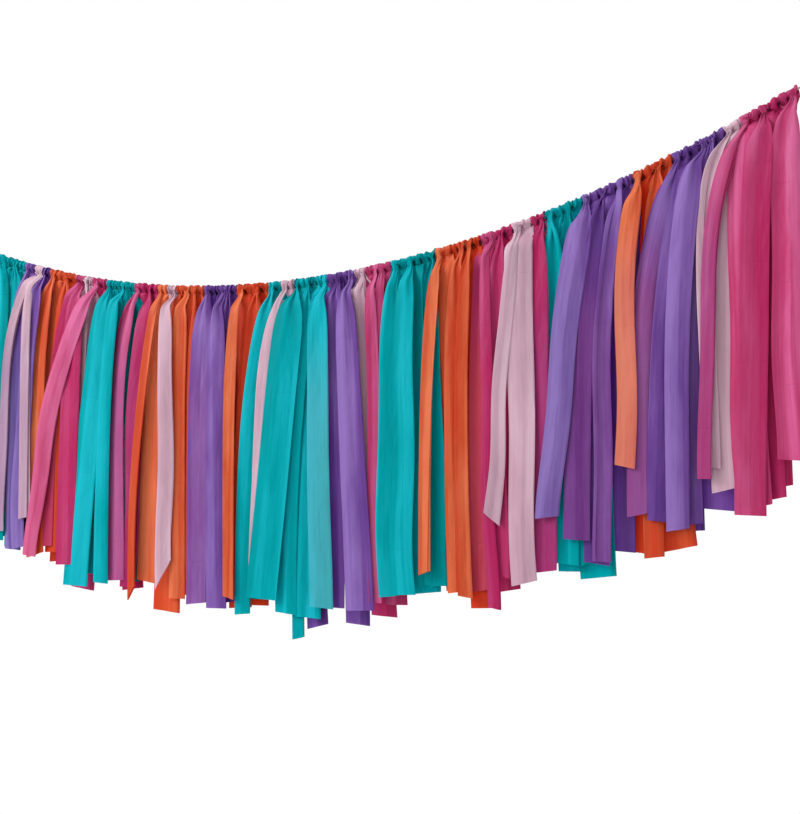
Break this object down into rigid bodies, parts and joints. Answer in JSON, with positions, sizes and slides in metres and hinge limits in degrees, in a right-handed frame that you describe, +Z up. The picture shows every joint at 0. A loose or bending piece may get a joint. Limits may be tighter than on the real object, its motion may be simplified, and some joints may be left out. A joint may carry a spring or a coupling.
{
  "type": "streamer garland",
  "caption": "Hanging garland of thin plastic film strips in teal, purple, orange, pink and blush, each knotted over a sagging twine that ends in an eye at each side.",
  "frame": {"origin": "where the left eye of the twine bears on its hook", "axes": "+X along the chord to the right eye, +Y away from the viewer, +Z up"},
  "size_m": [1.1976, 0.0168, 0.5562],
  "materials": {
    "teal_film": "thin translucent film with a soft satin sheen",
    "purple_film": "thin translucent film with a soft satin sheen",
    "orange_film": "thin translucent film with a soft satin sheen",
    "pink_film": "thin translucent film with a soft satin sheen",
    "blush_film": "thin translucent film with a soft satin sheen",
    "twine": "twisted cotton twine"
  },
  "bodies": {
    "twine": {"twine": "twine"},
    "streamer_01": {"streamer_01_teal": "teal_film"},
    "streamer_02": {"streamer_02_teal": "teal_film"},
    "streamer_03": {"streamer_03_purple": "purple_film"},
    "streamer_04": {"streamer_04_blush": "blush_film"},
    "streamer_05": {"streamer_05_purple": "purple_film"},
    "streamer_06": {"streamer_06_orange": "orange_film"},
    "streamer_07": {"streamer_07_orange": "orange_film"},
    "streamer_08": {"streamer_08_pink": "pink_film"},
    "streamer_09": {"streamer_09_blush": "blush_film"},
    "streamer_10": {"streamer_10_pink": "pink_film"},
    "streamer_11": {"streamer_11_teal": "teal_film"},
    "streamer_12": {"streamer_12_teal": "teal_film"},
    "streamer_13": {"streamer_13_teal": "teal_film"},
    "streamer_14": {"streamer_14_pink": "pink_film"},
    "streamer_15": {"streamer_15_pink": "pink_film"},
    "streamer_16": {"streamer_16_orange": "orange_film"},
    "streamer_17": {"streamer_17_blush": "blush_film"},
    "streamer_18": {"streamer_18_orange": "orange_film"},
    "streamer_19": {"streamer_19_orange": "orange_film"},
    "streamer_20": {"streamer_20_purple": "purple_film"},
    "streamer_21": {"streamer_21_purple": "purple_film"},
    "streamer_22": {"streamer_22_purple": "purple_film"},
    "streamer_23": {"streamer_23_orange": "orange_film"},
    "streamer_24": {"streamer_24_orange": "orange_film"},
    "streamer_25": {"streamer_25_teal": "teal_film"},
    "streamer_26": {"streamer_26_blush": "blush_film"},
    "streamer_27": {"streamer_27_teal": "teal_film"},
    "streamer_28": {"streamer_28_teal": "teal_film"},
    "streamer_29": {"streamer_29_teal": "teal_film"},
    "streamer_30": {"streamer_30_purple": "purple_film"},
    "streamer_31": {"streamer_31_purple": "purple_film"},
    "streamer_32": {"streamer_32_blush": "blush_film"},
    "streamer_33": {"streamer_33_pink": "pink_film"},
    "streamer_34": {"streamer_34_pink": "pink_film"},
    "streamer_35": {"streamer_35_teal": "teal_film"},
    "streamer_36": {"streamer_36_teal": "teal_film"},
    "streamer_37": {"streamer_37_teal": "teal_film"},
    "streamer_38": {"streamer_38_orange": "orange_film"},
    "streamer_39": {"streamer_39_orange": "orange_film"},
    "streamer_40": {"streamer_40_orange": "orange_film"},
    "streamer_41": {"streamer_41_pink": "pink_film"},
    "streamer_42": {"streamer_42_pink": "pink_film"},
    "streamer_43": {"streamer_43_blush": "blush_film"},
    "streamer_44": {"streamer_44_pink": "pink_film"},
    "streamer_45": {"streamer_45_teal": "teal_film"},
    "streamer_46": {"streamer_46_teal": "teal_film"},
    "streamer_47": {"streamer_47_purple": "purple_film"},
    "streamer_48": {"streamer_48_purple": "purple_film"},
    "streamer_49": {"streamer_49_purple": "purple_film"},
    "streamer_50": {"streamer_50_orange": "orange_film"},
    "streamer_51": {"streamer_51_orange": "orange_film"},
    "streamer_52": {"streamer_52_purple": "purple_film"},
    "streamer_53": {"streamer_53_purple": "purple_film"},
    "streamer_54": {"streamer_54_purple": "purple_film"},
    "streamer_55": {"streamer_55_blush": "blush_film"},
    "streamer_56": {"streamer_56_pink": "pink_film"},
    "streamer_57": {"streamer_57_pink": "pink_film"},
    "streamer_58": {"streamer_58_pink": "pink_film"}
  },
  "joints": [
    {"name": "swing_01", "type": "hinge", "parent": "twine", "child": "streamer_01", "pos_m": [0.0628, 0, -0.02565], "axis": [0.9327, 0, -0.3607], "range_deg": [-60, 60]},
    {"name": "swing_02", "type": "hinge", "parent": "twine", "child": "streamer_02", "pos_m": [0.08839, 0, -0.03531], "axis": [0.9384, 0, -0.3455], "range_deg": [-60, 60]},
    {"name": "swing_03", "type": "hinge", "parent": "twine", "child": "streamer_03", "pos_m": [0.11019, 0, -0.04319], "axis": [0.9432, 0, -0.3324], "range_deg": [-60, 60]},
    {"name": "swing_04", "type": "hinge", "parent": "twine", "child": "streamer_04", "pos_m": [0.12725, 0, -0.04911], "axis": [0.9468, 0, -0.3219], "range_deg": [-60, 60]},
    {"name": "swing_05", "type": "hinge", "parent": "twine", "child": "streamer_05", "pos_m": [0.14242, 0, -0.05419], "axis": [0.9499, 0, -0.3126], "range_deg": [-60, 60]},
    {"name": "swing_06", "type": "hinge", "parent": "twine", "child": "streamer_06", "pos_m": [0.16137, 0, -0.06026], "axis": [0.9537, 0, -0.3007], "range_deg": [-60, 60]},
    {"name": "swing_07", "type": "hinge", "parent": "twine", "child": "streamer_07", "pos_m": [0.18507, 0, -0.06753], "axis": [0.9583, 0, -0.2858], "range_deg": [-60, 60]},
    {"name": "swing_08", "type": "hinge", "parent": "twine", "child": "streamer_08", "pos_m": [0.20402, 0, -0.07309], "axis": [0.9618, 0, -0.2736], "range_deg": [-60, 60]},
    {"name": "swing_09", "type": "hinge", "parent": "twine", "child": "streamer_09", "pos_m": [0.21919, 0, -0.07731], "axis": [0.9646, 0, -0.2638], "range_deg": [-60, 60]},
    {"name": "swing_10", "type": "hinge", "parent": "twine", "child": "streamer_10", "pos_m": [0.23957, 0, -0.0827], "axis": [0.9681, 0, -0.2505], "range_deg": [-60, 60]},
    {"name": "swing_11", "type": "hinge", "parent": "twine", "child": "streamer_11", "pos_m": [0.26004, 0, -0.08788], "axis": [0.9715, 0, -0.237], "range_deg": [-60, 60]},
    {"name": "swing_12", "type": "hinge", "parent": "twine", "child": "streamer_12", "pos_m": [0.27635, 0, -0.09176], "axis": [0.9741, 0, -0.2261], "range_deg": [-60, 60]},
    {"name": "swing_13", "type": "hinge", "parent": "twine", "child": "streamer_13", "pos_m": [0.29265, 0, -0.09545], "axis": [0.9766, 0, -0.2152], "range_deg": [-60, 60]},
    {"name": "swing_14", "type": "hinge", "parent": "twine", "child": "streamer_14", "pos_m": [0.31056, 0, -0.09927], "axis": [0.9792, 0, -0.203], "range_deg": [-60, 60]},
    {"name": "swing_15", "type": "hinge", "parent": "twine", "child": "streamer_15", "pos_m": [0.33009, 0, -0.10318], "axis": [0.9818, 0, -0.1897], "range_deg": [-60, 60]},
    {"name": "swing_16", "type": "hinge", "parent": "twine", "child": "streamer_16", "pos_m": [0.34724, 0, -0.1064], "axis": [0.984, 0, -0.1779], "range_deg": [-60, 60]},
    {"name": "swing_17", "type": "hinge", "parent": "twine", "child": "streamer_17", "pos_m": [0.36222, 0, -0.10903], "axis": [0.9859, 0, -0.1676], "range_deg": [-60, 60]},
    {"name": "swing_18", "type": "hinge", "parent": "twine", "child": "streamer_18", "pos_m": [0.38137, 0, -0.11212], "axis": [0.988, 0, -0.1542], "range_deg": [-60, 60]},
    {"name": "swing_19", "type": "hinge", "parent": "twine", "child": "streamer_19", "pos_m": [0.40449, 0, -0.11554], "axis": [0.9904, 0, -0.138], "range_deg": [-60, 60]},
    {"name": "swing_20", "type": "hinge", "parent": "twine", "child": "streamer_20", "pos_m": [0.4243, 0, -0.11818], "axis": [0.9923, 0, -0.124], "range_deg": [-60, 60]},
    {"name": "swing_21", "type": "hinge", "parent": "twine", "child": "streamer_21", "pos_m": [0.4408, 0, -0.12014], "axis": [0.9937, 0, -0.1124], "range_deg": [-60, 60]},
    {"name": "swing_22", "type": "hinge", "parent": "twine", "child": "streamer_22", "pos_m": [0.45729, 0, -0.12191], "axis": [0.9949, 0, -0.1006], "range_deg": [-60, 60]},
    {"name": "swing_23", "type": "hinge", "parent": "twine", "child": "streamer_23", "pos_m": [0.47767, 0, -0.12379], "axis": [0.9963, 0, -0.0861], "range_deg": [-60, 60]},
    {"name": "swing_24", "type": "hinge", "parent": "twine", "child": "streamer_24", "pos_m": [0.50193, 0, -0.12568], "axis": [0.9976, 0, -0.0687], "range_deg": [-60, 60]},
    {"name": "swing_25", "type": "hinge", "parent": "twine", "child": "streamer_25", "pos_m": [0.52354, 0, -0.12701], "axis": [0.9986, 0, -0.0531], "range_deg": [-60, 60]},
    {"name": "swing_26", "type": "hinge", "parent": "twine", "child": "streamer_26", "pos_m": [0.54184, 0, -0.12787], "axis": [0.9992, 0, -0.0399], "range_deg": [-60, 60]},
    {"name": "swing_27", "type": "hinge", "parent": "twine", "child": "streamer_27", "pos_m": [0.55861, 0, -0.12844], "axis": [0.9996, 0, -0.0278], "range_deg": [-60, 60]},
    {"name": "swing_28", "type": "hinge", "parent": "twine", "child": "streamer_28", "pos_m": [0.57454, 0, -0.12879], "axis": [0.9999, 0, -0.0163], "range_deg": [-60, 60]},
    {"name": "swing_29", "type": "hinge", "parent": "twine", "child": "streamer_29", "pos_m": [0.59046, 0, -0.12896], "axis": [1, 0, -0.0047], "range_deg": [-60, 60]},
    {"name": "swing_30", "type": "hinge", "parent": "twine", "child": "streamer_30", "pos_m": [0.60771, 0, -0.12893], "axis": [1, 0, 0.0078], "range_deg": [-60, 60]},
    {"name": "swing_31", "type": "hinge", "parent": "twine", "child": "streamer_31", "pos_m": [0.62629, 0, -0.12866], "axis": [0.9998, 0, 0.0212], "range_deg": [-60, 60]},
    {"name": "swing_32", "type": "hinge", "parent": "twine", "child": "streamer_32", "pos_m": [0.64316, 0, -0.12821], "axis": [0.9994, 0, 0.0334], "range_deg": [-60, 60]},
    {"name": "swing_33", "type": "hinge", "parent": "twine", "child": "streamer_33", "pos_m": [0.65965, 0, -0.12755], "axis": [0.999, 0, 0.0453], "range_deg": [-60, 60]},
    {"name": "swing_34", "type": "hinge", "parent": "twine", "child": "streamer_34", "pos_m": [0.67747, 0, -0.12663], "axis": [0.9983, 0, 0.0582], "range_deg": [-60, 60]},
    {"name": "swing_35", "type": "hinge", "parent": "twine", "child": "streamer_35", "pos_m": [0.69586, 0, -0.12543], "axis": [0.9974, 0, 0.0714], "range_deg": [-60, 60]},
    {"name": "swing_36", "type": "hinge", "parent": "twine", "child": "streamer_36", "pos_m": [0.71482, 0, -0.12394], "axis": [0.9964, 0, 0.085], "range_deg": [-60, 60]},
    {"name": "swing_37", "type": "hinge", "parent": "twine", "child": "streamer_37", "pos_m": [0.73377, 0, -0.1222], "axis": [0.9951, 0, 0.0985], "range_deg": [-60, 60]},
    {"name": "swing_38", "type": "hinge", "parent": "twine", "child": "streamer_38", "pos_m": [0.75254, 0, -0.12021], "axis": [0.9937, 0, 0.1119], "range_deg": [-60, 60]},
    {"name": "swing_39", "type": "hinge", "parent": "twine", "child": "streamer_39", "pos_m": [0.77112, 0, -0.118], "axis": [0.9922, 0, 0.1251], "range_deg": [-60, 60]},
    {"name": "swing_40", "type": "hinge", "parent": "twine", "child": "streamer_40", "pos_m": [0.7897, 0, -0.11553], "axis": [0.9904, 0, 0.1382], "range_deg": [-60, 60]},
    {"name": "swing_41", "type": "hinge", "parent": "twine", "child": "streamer_41", "pos_m": [0.80894, 0, -0.11271], "axis": [0.9884, 0, 0.1516], "range_deg": [-60, 60]},
    {"name": "swing_42", "type": "hinge", "parent": "twine", "child": "streamer_42", "pos_m": [0.82884, 0, -0.10951], "axis": [0.9862, 0, 0.1655], "range_deg": [-60, 60]},
    {"name": "swing_43", "type": "hinge", "parent": "twine", "child": "streamer_43", "pos_m": [0.84941, 0, -0.1059], "axis": [0.9837, 0, 0.1797], "range_deg": [-60, 60]},
    {"name": "swing_44", "type": "hinge", "parent": "twine", "child": "streamer_44", "pos_m": [0.86827, 0, -0.10234], "axis": [0.9813, 0, 0.1927], "range_deg": [-60, 60]},
    {"name": "swing_45", "type": "hinge", "parent": "twine", "child": "streamer_45", "pos_m": [0.88714, 0, -0.09849], "axis": [0.9786, 0, 0.2055], "range_deg": [-60, 60]},
    {"name": "swing_46", "type": "hinge", "parent": "twine", "child": "streamer_46", "pos_m": [0.90837, 0, -0.09387], "axis": [0.9755, 0, 0.2199], "range_deg": [-60, 60]},
    {"name": "swing_47", "type": "hinge", "parent": "twine", "child": "streamer_47", "pos_m": [0.92827, 0, -0.08925], "axis": [0.9724, 0, 0.2332], "range_deg": [-60, 60]},
    {"name": "swing_48", "type": "hinge", "parent": "twine", "child": "streamer_48", "pos_m": [0.94685, 0, -0.08467], "axis": [0.9694, 0, 0.2455], "range_deg": [-60, 60]},
    {"name": "swing_49", "type": "hinge", "parent": "twine", "child": "streamer_49", "pos_m": [0.96543, 0, -0.07984], "axis": [0.9662, 0, 0.2577], "range_deg": [-60, 60]},
    {"name": "swing_50", "type": "hinge", "parent": "twine", "child": "streamer_50", "pos_m": [0.98562, 0, -0.0743], "axis": [0.9626, 0, 0.2708], "range_deg": [-60, 60]},
    {"name": "swing_51", "type": "hinge", "parent": "twine", "child": "streamer_51", "pos_m": [1.00742, 0, -0.06799], "axis": [0.9586, 0, 0.2848], "range_deg": [-60, 60]},
    {"name": "swing_52", "type": "hinge", "parent": "twine", "child": "streamer_52", "pos_m": [1.02723, 0, -0.06198], "axis": [0.9548, 0, 0.2973], "range_deg": [-60, 60]},
    {"name": "swing_53", "type": "hinge", "parent": "twine", "child": "streamer_53", "pos_m": [1.04505, 0, -0.05631], "axis": [0.9512, 0, 0.3085], "range_deg": [-60, 60]},
    {"name": "swing_54", "type": "hinge", "parent": "twine", "child": "streamer_54", "pos_m": [1.06286, 0, -0.05042], "axis": [0.9476, 0, 0.3196], "range_deg": [-60, 60]},
    {"name": "swing_55", "type": "hinge", "parent": "twine", "child": "streamer_55", "pos_m": [1.07974, 0, -0.04463], "axis": [0.944, 0, 0.3299], "range_deg": [-60, 60]},
    {"name": "swing_56", "type": "hinge", "parent": "twine", "child": "streamer_56", "pos_m": [1.09708, 0, -0.03845], "axis": [0.9403, 0, 0.3404], "range_deg": [-60, 60]},
    {"name": "swing_57", "type": "hinge", "parent": "twine", "child": "streamer_57", "pos_m": [1.11585, 0, -0.03153], "axis": [0.9361, 0, 0.3516], "range_deg": [-60, 60]},
    {"name": "swing_58", "type": "hinge", "parent": "twine", "child": "streamer_58", "pos_m": [1.13462, 0, -0.02436], "axis": [0.9319, 0, 0.3627], "range_deg": [-60, 60]}
  ]
}
